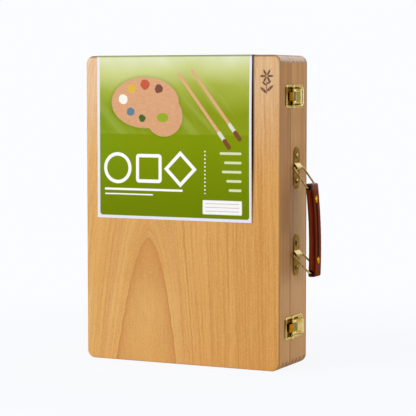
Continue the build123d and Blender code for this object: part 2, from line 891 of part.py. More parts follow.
def grip_leather():
    """Leather wrap with an eye at each end, a seam along its outer face and a hollow inside."""
    body = grip_body(0, 0)
    body = fillet(edges_at(body, -grip_width / 2) + edges_at(body, grip_width / 2), grip_edge_radius)
    half = pin_spacing / 2
    eye = Rot(90, 0, 0) * Cylinder(bail_wire_radius + bail_clearance, grip_width + past)
    for side in (-1, 1):
        face_y = side * (grip_width / 2 - eye_mouth_depth / 2 + past / 2)
        eye += Pos(0, face_y, 0) * Rot(90, 0, 0) * Cylinder(eye_mouth_radius, eye_mouth_depth + past)
    play = SlotOverall(
        2 * (bail_wire_radius + eye_play_along), 2 * (bail_wire_radius + eye_play_across), rotation=90
    )
    plane = Plane(origin=(eye_shift_across, grip_width, -half), x_dir=(1, 0, 0), z_dir=(0, -1, 0))
    lower_eye = extrude(plane * play, amount=2 * grip_width)
    stud_reach = stud_from_pin + stud_head_radius * stud_head_stretch
    seam_length = pin_spacing - 2 * (stud_reach + grip_seam_end_margin)
    outer_face = grip_bow + grip_middle_thickness / 2
    seam = Pos(outer_face, 0, 0) * Box(2 * grip_seam_depth, grip_seam_width, seam_length)
    body = cut_all(body, [Pos(0, 0, half) * eye, Pos(0, 0, -half) * eye, lower_eye, seam])
    return body - grip_body(grip_core_margin, grip_core_end_gap)


def grip_stud(side):
    """Domed brass stud pressed into the grip's outer face near one end."""
    z = side * (pin_spacing / 2 - stud_from_pin)
    reach = pin_spacing / 2 + grip_end_length
    share = 1 - (z / reach) ** 2
    surface = grip_end_thickness / 2 + (grip_bow + (grip_middle_thickness - grip_end_thickness) / 2) * share
    shank_length = grip_core_margin
    head = scale(dome(stud_head_radius, stud_head_height), by=(1, stud_head_stretch, 1))
    stud = head + Pos(0, 0, -shank_length / 2) * Cylinder(stud_shank_radius, shank_length)
    slot = Box(3 * stud_head_radius, stud_slot_width, 2 * stud_slot_depth)
    stud -= Pos(0, 0, stud_head_height) * Rot(0, 0, stud_slot_angle) * slot
    return facing((surface, 0, z), (1, 0, 0)) * stud


leather = grip_leather()
studs = [grip_stud(side) for side in (-1, 1)]
nodes["grip_leather"] = grip_place * cut_all(leather, studs)
nodes["grip_core"] = grip_place * grip_body(grip_core_margin, grip_core_end_gap)
nodes["grip_studs"] = Compound(children=[grip_place * stud for stud in studs])

handle_screws = []
for (name, pivot_z), angle in zip(handle_pivots.items(), bail_rest_angles):
    here = []
    for side in (-1, 1):
        screw_z = pivot_z - plate_below_pivot + side * plate_screw_offset
        head_seat = (half_width + handle_plate_thickness, handle_y, screw_z)
        slot_angle = screw_slot_angles[len(handle_screws) + len(here)]
        here.append(facing(head_seat, (1, 0, 0)) * dome_screw(slot_angle))
    nodes["handle_plate_" + name] = cut_all(handle_plate(pivot_z), here)
    nodes["bail_" + name] = bail(pivot_z, angle)
    handle_screws += here
nodes["handle_screws"] = Compound(children=handle_screws)
base_walls["latch_side"] = cut_all(base_walls["latch_side"], handle_screws)

# ----------------------------------------------------------------- export
for name, wall in lid_walls.items():
    nodes["lid_wall_" + name] = wall
for name, wall in base_walls.items():
    nodes["base_wall_" + name] = wall
nodes["lid_panel"] = lid_panel
nodes["base_panel"] = base_panel

for name, solid in nodes.items():
    export_step(solid, "parts/" + name + ".step")
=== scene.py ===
"""Wooden sketch box with a hinged lid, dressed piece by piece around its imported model."""
import math

import bpy
import numpy as np
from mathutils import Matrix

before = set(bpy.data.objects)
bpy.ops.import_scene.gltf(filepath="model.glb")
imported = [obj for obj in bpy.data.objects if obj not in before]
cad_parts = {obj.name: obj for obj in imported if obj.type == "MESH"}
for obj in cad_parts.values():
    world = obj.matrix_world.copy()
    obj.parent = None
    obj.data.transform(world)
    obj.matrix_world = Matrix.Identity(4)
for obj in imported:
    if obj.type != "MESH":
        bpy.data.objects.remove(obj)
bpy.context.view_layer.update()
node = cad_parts


# ---------------------------------------------------------------- camera
# A long lens, a little above half the box's height, turned so that the lid's panel and the
# side with the latches both show.
camera_place = (0.913996, -1.867428, 0.339867)
camera_dip, camera_turn = 4.1725, 25.669

camera = bpy.data.objects.new("camera", bpy.data.cameras.new("camera"))
bpy.context.scene.collection.objects.link(camera)
camera.location = camera_place
camera.rotation_euler = (math.radians(90 - camera_dip), 0, math.radians(camera_turn))
camera.data.sensor_width = 36
camera.data.lens = 146.33
camera.data.clip_end = 60
bpy.context.scene.camera = camera
bpy.context.scene.view_settings.view_transform = "Standard"


# ----------------------------------------------------- table and backdrop
# The box stands on a white table top that runs back into a white paper backdrop. Close round
# the box the table keeps its shadow, and further off it fades into the paper's white.
def paint(code):
    """Linear colour of a paint given as six hexadecimal digits."""
    parts = [int(code[i:i + 2], 16) / 255 for i in (0, 2, 4)]
    return tuple(c / 12.92 if c <= 0.04045 else ((c + 0.055) / 1.055) ** 2.4 for c in parts) + (1.0,)


class Feed:
    """One output in a finish. A sum written on it adds the Math nodes for that sum."""

    def __init__(self, finish, socket):
        self.finish, self.socket = finish, socket

    def worked(self, operation, *values):
        """Adds a Math node that does this operation on these values."""
        return self.finish.add("ShaderNodeMath", {"operation": operation}, dict(enumerate(values)))

    def __add__(self, other):
        return self.worked("ADD", self, other)

    def __sub__(self, other):
        return self.worked("SUBTRACT", self, other)

    def __rsub__(self, other):
        return self.worked("SUBTRACT", other, self)

    def __mul__(self, other):
        return self.worked("MULTIPLY", self, other)

    def __truediv__(self, other):
        return self.worked("DIVIDE", self, other)

    def __pow__(self, other):
        return self.worked("POWER", self, other)

    def __rpow__(self, other):
        return self.worked("POWER", other, self)

    def __mod__(self, other):
        return self.worked("FLOORED_MODULO", self, other)

    def __neg__(self):
        return self.worked("MULTIPLY", self, -1.0)

    def __abs__(self):
        return self.worked("ABSOLUTE", self)

    __radd__, __rmul__ = __add__, __mul__


def larger(first, second):
    """The larger of two values. Where the first is an output this adds a Math node."""
    if isinstance(first, Feed):
        return first.worked("MAXIMUM", first, second)
    return max(first, second)


def smaller(first, second):
    """The smaller of an output and another value."""
    return first.worked("MINIMUM", first, second)


def distance(across, along):
    """Straight distance that two distances at right angles make."""
    return (across ** 2 + along ** 2) ** 0.5


class Finish:
    """A finish: nodes, added one by one, for a new material or for the world that is given."""

    def __init__(self, name, owner=None):
        self.owner = owner or bpy.data.materials.new(name)
        self.owner.use_nodes = True
        self.tree = self.owner.node_tree
        self.tree.nodes.clear()

    def add(self, kind, settings=None, sockets=None, out=0):
        """Adds a node: its settings first, then a value or a link for each socket."""
        made = self.tree.nodes.new(kind)
        for key, value in (settings or {}).items():
            if key == "stops":
                ramp = made.color_ramp
                while len(ramp.elements) < len(value):
                    ramp.elements.new(1.0)
                for element, (place, colour) in zip(ramp.elements, value):
                    element.position, element.color = place, colour
            else:
                setattr(made, key, value)
        for key, value in (sockets or {}).items():
            if isinstance(value, Feed):
                self.tree.links.new(value.socket, made.inputs[key])
            else:
                made.inputs[key].default_value = value
        if isinstance(out, tuple):
            return tuple(Feed(self, made.outputs[key]) for key in out)
        return Feed(self, made.outputs[out])

    def split(self, vector):
        """X, Y and Z of a vector."""
        return self.add("ShaderNodeSeparateXYZ", None, {0: vector}, out=(0, 1, 2))

    def where(self):
        """X, Y and Z of the point on the piece, in millimetres."""
        metres = self.add("ShaderNodeTexCoord", out="Object")
        return self.split(self.add("ShaderNodeVectorMath", {"operation": "SCALE"},
                                   {0: metres, "Scale": 1000.0}))

    def outward(self):
        """X, Y and Z of the way that the surface faces."""
        return self.split(self.add("ShaderNodeTexCoord", out="Normal"))

    def facing(self, axis):
        """How squarely the surface faces along an axis, from 0 to 1."""
        return abs(self.outward()[axis])

    def noise(self, x, y, z, detail, roughness=0.5):
        """Smooth random value about 0.5, one lump per unit of x, y and z."""
        place = self.add("ShaderNodeCombineXYZ", None, {0: x, 1: y, 2: z})
        return self.add("ShaderNodeTexNoise", {"noise_dimensions": "3D"},
                        {"Vector": place, "Scale": 1.0, "Detail": detail, "Roughness": roughness})

    def cells(self, x, y, z):
        """Distance to the nearest of many scattered points, one per unit of x, y and z."""
        place = self.add("ShaderNodeCombineXYZ", None, {0: x, 1: y, 2: z})
        return self.add("ShaderNodeTexVoronoi", None, {"Vector": place, "Scale": 1.0}, out="Distance")

    def rise(self, value, low, high):
        """0 up to low, 1 from high on, and a smooth slope between."""
        return self.add("ShaderNodeMapRange", {"interpolation_type": "SMOOTHSTEP"},
                        {"Value": value, "From Min": low, "From Max": high})

    def fall(self, value, low, high):
        """1 up to low, 0 from high on, and a smooth slope between."""
        return 1 - self.rise(value, low, high)

    def stretch(self, value, start, full, fade, end):
        """1 from full to fade, 0 before start and past end, and smooth slopes between."""
        return self.rise(value, start, full) * self.fall(value, fade, end)

    def lay(self, share, under, over):
        """One colour laid over another where share is 1."""
        return self.add("ShaderNodeMix", {"data_type": "RGBA"}, {0: share, 6: under, 7: over}, out=2)

    def relief(self, height, depth):
        """Surface normal over a height that rises by depth metres from 0 to 1."""
        return self.add("ShaderNodeBump", None, {"Strength": 1.0, "Distance": depth, "Height": height})

    def surface(self, sockets):
        """Ends the finish in one glossy surface with these sockets."""
        return self.end(self.add("ShaderNodeBsdfPrincipled", None, sockets))

    def end(self, shader, output="ShaderNodeOutputMaterial"):
        """Ends the finish in this shader."""
        self.tree.links.new(shader.socket, self.tree.nodes.new(output).inputs["Surface"])
        return self

    def put_on(self, *names):
        """Gives the finish to the pieces with these names."""
        for name in names:
            node[name].data.materials.clear()
            node[name].data.materials.append(self.owner)


paper_white = paint("FBFCFF")
table_white = (0.9, 0.9, 0.9, 1)
shadow_share = 0.075
shadow_reach = (250.0, 750.0)
table_half = 4.0

table_finish = Finish("table_top")
table_x, table_y, table_z = table_finish.where()
near_box = table_finish.fall(distance(table_x, table_y), *shadow_reach)
seen = table_finish.add("ShaderNodeLightPath", out="Is Camera Ray")
lit_table = table_finish.add("ShaderNodeBsdfDiffuse", None, {"Color": table_white})
paper_glow = table_finish.add("ShaderNodeEmission", None, {"Color": paper_white, "Strength": 1.0})
shown_table = table_finish.add("ShaderNodeMixShader", None,
                               {0: near_box * shadow_share, 1: paper_glow, 2: lit_table})
table_finish.end(table_finish.add("ShaderNodeMixShader", None, {0: seen, 1: lit_table, 2: shown_table}))

table = bpy.data.objects.new("table_top", bpy.data.meshes.new("table_top"))
table_corners = np.array([(-1, -1, 0), (1, -1, 0), (1, 1, 0), (-1, 1, 0)]) * table_half
table.data.from_pydata(table_corners.tolist(), [], [(0, 1, 2, 3)])
table.data.materials.append(table_finish.owner)
bpy.context.scene.collection.objects.link(table)

# The room lights the box a little more from the window's side. Metal and lacquer mirror the
# white paper, a dark flag behind the box and the dim room in front.
window_way = (-0.62, -0.72, 0.32)
flag_way = (0.43, 0.90, -0.07)
daylight = (1.0, 0.99, 0.975, 1)

room = bpy.data.worlds.new("room")
bpy.context.scene.world = room
room_finish = Finish("room", room)
room_x, room_y, room_z = room_finish.split(room_finish.add("ShaderNodeTexCoord", out="Generated"))


def towards(way):
    """How squarely a direction in the room points along a way: their scalar product."""
    return room_x * way[0] + room_y * way[1] + room_z * way[2]


def room_shine(colour, strength):
    """The room shining with a colour at a strength."""
    return room_finish.add("ShaderNodeBackground", None, {"Color": colour, "Strength": strength})


room_level = 0.40 + 0.34 * room_finish.rise(towards(window_way), -0.9, 1.0)
flag = room_finish.rise(towards(flag_way), 0.925, 0.975)
front_dark = room_finish.rise(-room_y, -0.1, 0.6)
mirrored_level = 1.0 - flag * 0.68 - front_dark * 0.70
camera_ray, glossy_ray = room_finish.add("ShaderNodeLightPath", out=("Is Camera Ray", "Is Glossy Ray"))
room_lit = room_finish.add("ShaderNodeMixShader", None, {
    0: glossy_ray, 1: room_shine(daylight, room_level), 2: room_shine(paper_white, mirrored_level)})
room_seen = room_finish.add("ShaderNodeMixShader", None, {
    0: camera_ray, 1: room_lit, 2: room_shine(paper_white, 1.0)})
room_finish.end(room_seen, "ShaderNodeOutputWorld")


# ------------------------------------------------------------- soft lights
# One broad soft lamp stands to the left in front of the box and a weaker one to its right, so
# that the lid's panel is brighter than the side with the latches.
def soft_lamp(name, place, target, size, power, colour):
    """Square soft lamp at a place, turned to a target."""
    lamp = bpy.data.objects.new(name, bpy.data.lights.new(name, "AREA"))
    bpy.context.scene.collection.objects.link(lamp)
    lamp.data.size, lamp.data.energy, lamp.data.color = size, power, colour
    lamp.location = place
    x, y, z = (end - start for start, end in zip(place, target))
    turn = math.atan2(y, x) - math.pi / 2
    lift = math.asin(z / math.dist(place, target))
    lamp.rotation_euler = (math.pi / 2 + lift, 0, turn)


soft_lamp("window_lamp", (-1.7, -2.3, 1.5), (0, 0, 0.2), 1.6, 43, (1.0, 0.985, 0.96))
soft_lamp("side_lamp", (2.6, -1.0, 0.9), (0, 0, 0.15), 1.2, 9, (1.0, 0.99, 0.98))


# -------------------------------------------------------------- lid's panel
# A thin beech plywood panel, glued on the lid's frame and rounded over with it. Its face veneer
# is flat cut: the year rings show as tall pointed arches that run out into straight lines.
box_half_width, box_length, box_corner = 130.0, 375.0, 10.0
panel_face_y, ply_thickness = -42.5, 1.34
card_right = 95.2
arch_point = 2.5
rosette_x, rosette_z = 113.5, 350.0

veneer_light = paint("E0B26C")
veneer_mid = paint("D8A45B")
veneer_orange = paint("CF954A")
veneer_line = paint("B97A34")
veneer_red = paint("BC7C3C")
veneer_pink = paint("D39D64")
veneer_painted_sheen = paint("EED2BC")
veneer_painted_edge_sheen = paint("E2CEB6")
veneer_edge = paint("BF8238")
veneer_top_edge_shade = paint("5E4426")
right_reach = (-30.0, 110.0)

# Petals and leaves of the burnt mark. For each: how far and which way its middle is from the
# rosette's, how far that is raised, which way it points, its half length and its half width.
rosette_petals = [(4.6, turn, 0.0, turn, 3.9, 1.3) for turn in range(0, 360, 60)]
rosette_sprig = [(0.0, 0, -13.5, 90, 8.5, 0.7), (4.2, 180, -16.5, 138, 5.0, 1.7),
                 (4.2, 0, -14.5, 42, 5.0, 1.7), (3.0, 180, -9.0, 146, 3.4, 1.2), (3.0, 0, -7.5, 34, 3.4, 1.2)]

# Single strong rings: how far out of the arch each runs, its half width and how dark it is.
strong_rings = ((50.5, 0.9, 0.6), (82.0, 0.7, 0.5), (120.0, 0.6, 0.45), (-58.4, 0.7, 0.35))


def rounded_edge(x, z):
    """Distance in from the box's rounded outline: the corner's radius less the distance out
    from the corner's middle."""
    across = larger(abs(x) - (box_half_width - box_corner), 0.0)
    along = larger(abs(z - box_length / 2) - (box_length / 2 - box_corner), 0.0)
    return box_corner - distance(across, along)


def burnt_rosette(finish, x, z):
    """Small rosette over a leafy sprig, burnt into the panel's upper right corner. Each leaf is
    an oval: (along / half length)^2 + (aside / half width)^2 is under 1 within it."""
    nearest = None
    for reach, way, lift, turn, half_length, half_width in rosette_petals + rosette_sprig:
        leaf_x = rosette_x + reach * math.cos(math.radians(way))
        leaf_z = rosette_z + reach * math.sin(math.radians(way)) + lift
        c, s = math.cos(math.radians(turn)), math.sin(math.radians(turn))
        along = ((x - leaf_x) * c + (z - leaf_z) * s) / half_length
        aside = ((z - leaf_z) * c - (x - leaf_x) * s) / half_width
        leaf = along ** 2 + aside ** 2
        nearest = leaf if nearest is None else smaller(nearest, leaf)
    return finish.fall(nearest, 0.5, 1.5)


def sawn_plies(finish, y, face_y, soft_line, pale, dark):
    """Plies on a sawn edge, with a dark glue line each ply's thickness in from the face."""
    from_line = abs(((y - face_y) / ply_thickness) % 1.0 - 0.5)
    return finish.lay(finish.rise(from_line, *soft_line), paint(pale), paint(dark))


class Arch:
    """Places on flat cut veneer with one tall arch. Its rings are curves of equal
    (|across| + point)^2 - point^2 less spread times the depth below the peak, and the square
    root of that, with the side's sign, spaces them evenly far out. line_place runs on inside the
    arch, fan runs straight there, and within is how far inside the outline a point lies."""

    def __init__(self, finish, x, z, peak, lean, spread, seed):
        peak_x, peak_z = peak
        depth = peak_z - z
        sway = (finish.noise(z * 0.016, seed, 0.0, 1.0) - 0.5) * 6
        sway = sway + (finish.noise(z * 0.075, seed, 3.0, 2.0) - 0.5) * 2.6
        across = x - peak_x + depth * lean + sway
        ring = (abs(across) + arch_point) ** 2 - arch_point ** 2 - depth * spread
        self.from_middle = abs(across)
        self.inside = finish.fall(ring, -26.0, 12.0)
        self.outside = 1 - self.inside
        self.ring_out = across.worked("SIGN", across) * larger(ring, 1.0) ** 0.5
        self.line_place = self.ring_out + larger(-ring, 0.0) ** 0.5 * 0.35 + seed * 17
        self.fan = self.line_place * self.outside + (x + seed * 17) * self.inside
        half = larger(depth * spread + arch_point ** 2, 0.0) ** 0.5 - arch_point
        self.within = larger(half - self.from_middle, 0.0)


def veneer_tones(finish, x, z, arch, seed):
    """Broad soft bands, warmer to the right and low down, with a painted sheen towards the upper
    corners, and a pink streak on each side of the arch."""
    bands = finish.noise(arch.line_place * 0.045, z * 0.0016, seed, 2.0)
    colour = finish.lay(finish.rise(bands, 0.36, 0.66), veneer_light, veneer_mid)
    right = finish.rise(x, *right_reach)
    colour = finish.lay(right * 0.70, colour, veneer_orange)
    low = finish.stretch(z, 60.0, 110.0, 170.0, 230.0)
    colour = finish.lay(low * (0.32 - 0.22 * finish.rise(x, -120.0, -60.0)), colour, veneer_orange)
    # painted sheen towards the upper corners, standing in for the lacquer's reflection
    upper_left = finish.fall(x, -130.0, -60.0) * finish.rise(z, 240.0, 380.0)
    colour = finish.lay(upper_left * 0.60, colour, veneer_painted_sheen)
    upper_edges = finish.rise(abs(x), 88.0, 96.0) * finish.rise(z, 205.0, 365.0)
    colour = finish.lay(upper_edges * (0.26 + 0.22 * right), colour, veneer_painted_edge_sheen)
    pink_left = finish.fall(abs(arch.ring_out + 45.0), 2.0, 9.0)
    pink_right = finish.fall(abs(arch.ring_out - 33.8), 2.0, 8.0)
    colour = finish.lay(larger(pink_left, pink_right) * 0.55, colour, veneer_pink)
    beside_arch = arch.outside * finish.fall(abs(arch.ring_out), 5.0, 22.0)
    return finish.lay(beside_arch * 0.35, colour, veneer_light)


def veneer_rings(finish, x, z, arch, seed, hairs, colour):
    """Year rings with one sharp side and fine lines along them, strongest at the lower right,
    and a few strong single rings."""
    rings = finish.noise(arch.fan * 0.21, z * 0.003, seed + 5, 3.0, 0.6)
    warp = finish.noise(arch.line_place * 0.07, z * 0.002, seed + 21, 2.0)
    year = (arch.line_place * 0.125 + warp * 5.0) % 1.0
    right = finish.rise(x, *right_reach)
    strong = 0.60 + 0.36 * right - 0.30 * right * finish.rise(z, 220.0, 330.0)
    year_lines = finish.rise(year, 0.45, 0.97) * 0.34 * strong * arch.outside
    ring_lines = finish.rise(rings, 0.46, 0.70) * (0.50 * strong) * (arch.outside * 0.7 + 0.3)
    hair_lines = finish.rise(hairs, 0.50, 0.72) * (0.48 * strong) * (arch.outside * 0.5 + 0.5)
    for lines in (year_lines, ring_lines, hair_lines):
        colour = finish.lay(lines, colour, veneer_line)
    colour = finish.lay(finish.fall(hairs, 0.26, 0.46) * 0.34, colour, veneer_light)
    for place, half_width, darkness in strong_rings:
        line = finish.fall(abs(arch.ring_out - place), 0.2, half_width + 1.1)
        colour = finish.lay(line * darkness, colour, veneer_line)
    return colour


def veneer_heart(finish, z, arch, colour):
    """Redder wood inside the arch, most of all just within its outline, where the redness dies
    away as two exponentials, and darker wood round its peak."""
    redness = 0.46 * math.e ** (arch.within / -19.0) + 0.34 * math.e ** (arch.within / -3.5) + 0.10
    colour = finish.lay(arch.inside * redness, colour, veneer_red)
    near_peak = finish.fall(arch.from_middle, 8.0, 52.0) * finish.stretch(z, 70.0, 120.0, 160.0, 215.0)
    return finish.lay(near_peak * 0.34, colour, veneer_line)


def veneer_pores(finish, x, y, z, arch, fibre, colour):
    """Short pores along the lines, fibres, a soft mottle and the flecks of beech."""
    pores = finish.cells(arch.fan * 0.42, y * 0.4, z * 0.030)
    fine_pores = finish.cells(x * 0.8, y * 0.9, z * 0.10)
    mottle = finish.noise(x * 0.42, y * 0.42, z * 0.42, 2.0, 0.6)
    flecks = finish.cells(x * 0.75, y * 0.75, z * 0.26)
    colour = finish.lay(finish.fall(pores, 0.10, 0.34) * 0.34, colour, veneer_red)
    colour = finish.lay(finish.rise(fibre, 0.50, 0.78) * 0.30, colour, veneer_line)
    colour = finish.lay(finish.fall(fibre, 0.20, 0.46) * 0.22, colour, veneer_light)
    colour = finish.lay(finish.fall(fine_pores, 0.06, 0.22) * 0.30, colour, veneer_line)
    colour = finish.lay(finish.rise(mottle, 0.50, 0.70) * 0.20, colour, veneer_line)
    colour = finish.lay(finish.fall(mottle, 0.30, 0.50) * 0.27, colour, veneer_light)
    return finish.lay(finish.fall(flecks, 0.08, 0.26) * 0.24, colour, veneer_red)


def lid_card_shadow_and_burnt_mark(finish, x, z, fibre, colour):
    """Painted shadow under and beside the card's lifted right edge, and the burnt mark."""
    # painted shadow of the card's lifted edge, dark in the gap beside it and under it
    card_shadow = finish.stretch(x, 84.0, 88.0, card_right + 0.5, card_right + 3.7)
    colour = finish.lay(card_shadow * finish.rise(z, 165.0, 260.0) * 0.97, colour, paint("2C0400"))
    burnt = burnt_rosette(finish, x, z) * (0.55 + 0.45 * finish.rise(fibre, 0.3, 0.6))
    return finish.lay(burnt, colour, paint("5A2E22"))


def flat_cut_veneer(name, peak, lean, spread, seed, marks_and_painted_light=None):
    """Plywood faced with veneer. Its edges are darker, painted shade darkens its upper edge, its sawn
    sides show the plies, greyer than the face, and the last argument adds the panel's painted shadow."""
    finish = Finish(name)
    x, y, z = finish.where()
    arch = Arch(finish, x, z, peak, lean, spread, seed)
    hairs = finish.noise(arch.fan * 0.46, z * 0.009, seed + 9, 2.0, 0.6)
    fibre = finish.noise(x * 1.9, y * 1.9, z * 0.05, 3.0, 0.65)
    colour = veneer_tones(finish, x, z, arch, seed)
    colour = veneer_rings(finish, x, z, arch, seed, hairs, colour)
    colour = veneer_heart(finish, z, arch, colour)
    colour = veneer_pores(finish, x, y, z, arch, fibre, colour)
    colour = finish.lay(finish.fall(rounded_edge(x, z), 0.0, 1.7) * 0.6, colour, veneer_edge)
    # painted shade along the panel's upper edge
    colour = finish.lay(finish.rise(z, 371.6, 374.2) * 0.75, colour, veneer_top_edge_shade)
    if marks_and_painted_light:
        colour = marks_and_painted_light(finish, x, z, fibre, colour)
    ply_colour = sawn_plies(finish, y, panel_face_y, (0.38, 0.47), "B48C60", "86603C")
    ply_grain = finish.noise(x * 1.2, y * 3, z * 1.2, 2.0)
    ply_colour = finish.lay(finish.rise(ply_grain, 0.4, 0.7) * 0.4, ply_colour, paint("94704A"))
    colour = finish.lay(finish.fall(finish.facing(1), 0.10, 0.55), colour, ply_colour)
    return finish.surface({
        "Base Color": colour, "Roughness": 0.46 + 0.12 * fibre,
        "Normal": finish.relief(fibre * 0.5 + hairs * 0.5, 0.00006),
        "Coat Weight": 0.10, "Coat Roughness": 0.36, "Specular IOR Level": 0.22})


flat_cut_veneer("lid_veneer", (-43.3, 154.5), 0.03, 12.7, 2.0, lid_card_shadow_and_burnt_mark).put_on("lid_panel")


# ------------------------------------------------------------- base's panel
# The same plywood closes the base behind. Its veneer comes from another part of the log, with a
# wider arch that stands higher.
flat_cut_veneer("base_veneer", (28.0, 292.0), -0.02, 17.0, 6.0).put_on("base_panel")


# ------------------------------------------------- frames of lid and base
# Both frames are sawn beech with the grain along each piece, comb jointed and glued at the four
# corners. End grain shows on the fingers, darker than the long grain.
stick_light = paint("D6A166")
stick_mid = paint("C89054")
stick_dark = paint("9E6933")
stick_end = paint("A87B4E")
stick_pale = paint("F5C486")
stick_seam_dirt_and_shade = paint("703A1A")
seam_y = -9.0
grain_x, grain_z = 0, 2

# Heights at which the painted shade and light behind the whole handle, and behind its grip, start,
# are full, begin to fade and end.
beside_handle = (104.0, 126.0, 226.0, 242.0)
beside_grip = (150.0, 172.0, 203.0, 222.0)


def seam_dirt_and_painted_shade(finish, x, y, z, colour):
    """Dirt along the seam, darker at the foot, and painted shadow and painted light on the side
    behind the handle. The mating rims inside stay clean."""
    past_seam = y - seam_y
    on_side = finish.rise(x, box_half_width - 1.2, box_half_width - 0.4)
    by_handle = on_side * finish.stretch(z, *beside_handle)
    by_grip = on_side * finish.stretch(z, *beside_grip)
    on_base = finish.rise(past_seam, -1.0, 1.0)
    handle_shadow_band = finish.fall(past_seam, 9.0, 17.0) * on_base
    # painted shadow of the handle on the base beside the seam, and of the grip on the lid
    colour = finish.lay(by_handle * handle_shadow_band * 0.38, colour, stick_seam_dirt_and_shade)
    colour = finish.lay(by_grip * (1 - on_base) * 0.18, colour, stick_seam_dirt_and_shade)
    # painted light on the base further from the seam behind the handle
    handle_lit_band = finish.stretch(past_seam, 15.0, 23.0, 30.0, 44.0)
    colour = finish.lay(by_handle * handle_lit_band * 0.36, colour, stick_pale)
    near_side = finish.rise(abs(x), box_half_width - 4.0, box_half_width - 2.5)
    near_end = finish.rise(abs(z - box_length / 2), box_length / 2 - 4.0, box_length / 2 - 2.5)
    outside = larger(near_side, near_end) * finish.fall(finish.facing(1), 0.6, 0.9)
    dirt_and_shade = (0.90 - 0.34 * finish.rise(z, 150.0, 300.0)) * outside * (1 - 0.85 * by_grip)
    colour = finish.lay(finish.fall(abs(past_seam), 0.4, 1.5) * dirt_and_shade, colour, stick_seam_dirt_and_shade)
    # darker at the foot
    return finish.lay(finish.fall(z, 0.8, 3.4) * 0.85, colour, stick_seam_dirt_and_shade)


def sawn_beech(name, grain, seed, tone=0.0, tones=()):
    """Sawn beech with its grain along axis number grain (0 for X, 2 for Z). Its tone is pale
    below 0 and dark above; each of tones is a height, how softly, and how far it changes there."""
    finish = Finish(name)
    place = list(finish.where())
    x, y, z = place
    dark = tone + sum(finish.rise(z, height - soft, height + soft) * change
                      for height, soft, change in tones)
    along = place.pop(grain)
    across, deep = place
    sway = finish.noise(along * 0.012, seed, 0.0, 1.0) * 5
    broad = finish.noise((across + sway) * 0.10, deep * 0.10 + seed, along * 0.0035, 2.0)
    rings = finish.noise((across + sway) * 0.36, deep * 0.36, along * 0.005 + seed, 3.0, 0.6)
    fibre = finish.noise(across * 1.7, deep * 1.7 + seed, along * 0.04, 3.0, 0.65)
    flecks = finish.cells(across * 0.9, deep * 0.9 + seed, along * 0.10)
    clouds = finish.noise(across * 0.05, seed, along * 0.012, 2.0)
    colour = finish.lay(finish.rise(broad, 0.35, 0.68), stick_light, stick_mid)
    colour = finish.lay(finish.rise(clouds, 0.40, 0.68) * 0.30, colour, stick_dark)
    colour = finish.lay(finish.rise(rings, 0.46, 0.72) * 0.55, colour, stick_dark)
    colour = finish.lay(finish.fall(rings, 0.24, 0.42) * 0.40, colour, stick_light)
    colour = finish.lay(finish.rise(fibre, 0.50, 0.80) * 0.38, colour, stick_dark)
    colour = finish.lay(finish.fall(flecks, 0.06, 0.22) * 0.60, colour, stick_dark)
    colour = finish.lay(larger(dark, 0.0), colour, stick_dark)
    colour = finish.lay(larger(-dark, 0.0), colour, stick_pale)

    # end grain: fine pores and the ends of the rings
    pores = finish.fall(finish.cells(across * 2.4, deep * 2.4, along * 2.4), 0.10, 0.36)
    end_colour = finish.lay(pores * 0.5, stick_end, stick_dark)
    end_colour = finish.lay(finish.rise(rings, 0.45, 0.7) * 0.5, end_colour, paint("8E6238"))
    colour = finish.lay(finish.rise(finish.facing(grain), 0.75, 0.92) * 0.85, colour, end_colour)
    colour = seam_dirt_and_painted_shade(finish, x, y, z, colour)

    # the lacquer pooled on the upper rounded corners, where it shines most
    upward = finish.outward()[2]
    pooled = finish.stretch(upward, 0.03, 0.18, 0.78, 0.95)
    return finish.surface({
        "Base Color": colour, "Roughness": 0.40 + 0.16 * fibre,
        "Normal": finish.relief(fibre * 0.6 + rings * 0.4, 0.00007),
        "Coat Weight": 0.06 + 0.94 * pooled, "Coat Roughness": 0.2, "Coat IOR": 2.2,
        "Specular IOR Level": 0.36})


for part, tone, seed, tones in (
        ("base_wall", -0.20, 0.0, ((70, 25, -0.08), (225, 25, 0.32))),
        ("lid_wall", -0.24, 8.8, ((108, 16, 0.55), (225, 25, -0.14)))):
    for number, place in enumerate(("latch_side", "hinge_side")):
        wall = part + "_" + place
        sawn_beech(wall, grain_z, 11.0 + 7 * number + seed, tone, tones).put_on(wall)
    for number, place in enumerate(("lower_end", "upper_end")):
        wall = part + "_" + place
        sawn_beech(wall, grain_x, 31.0 + 7 * number + seed, tone + 0.2).put_on(wall)


# --------------------------------------------------- dividers and battens
# Thin beech strips: dividers housed in the base's walls, notched battens glued inside the lid,
# and the loose bar that drops into the battens' notches and holds painting boards.
sawn_beech("divider_long", grain_z, 3.0, 0.05).put_on("divider_long")
sawn_beech("divider_cross", grain_x, 5.0, 0.1).put_on("divider_cross_lower", "divider_cross_upper")
sawn_beech("lid_batten", grain_x, 8.0).put_on("lid_batten_lower", "lid_batten_upper")
sawn_beech("panel_bar", grain_z, 14.0, 0.1).put_on("panel_bar")


# ----------------------------------------------------------------- palette
# A plywood palette lies in the lid behind the bar. Its face is sanded birch, oiled a little
# darker, and its sawn edge shows the plies.
palette_face_y = -38.5


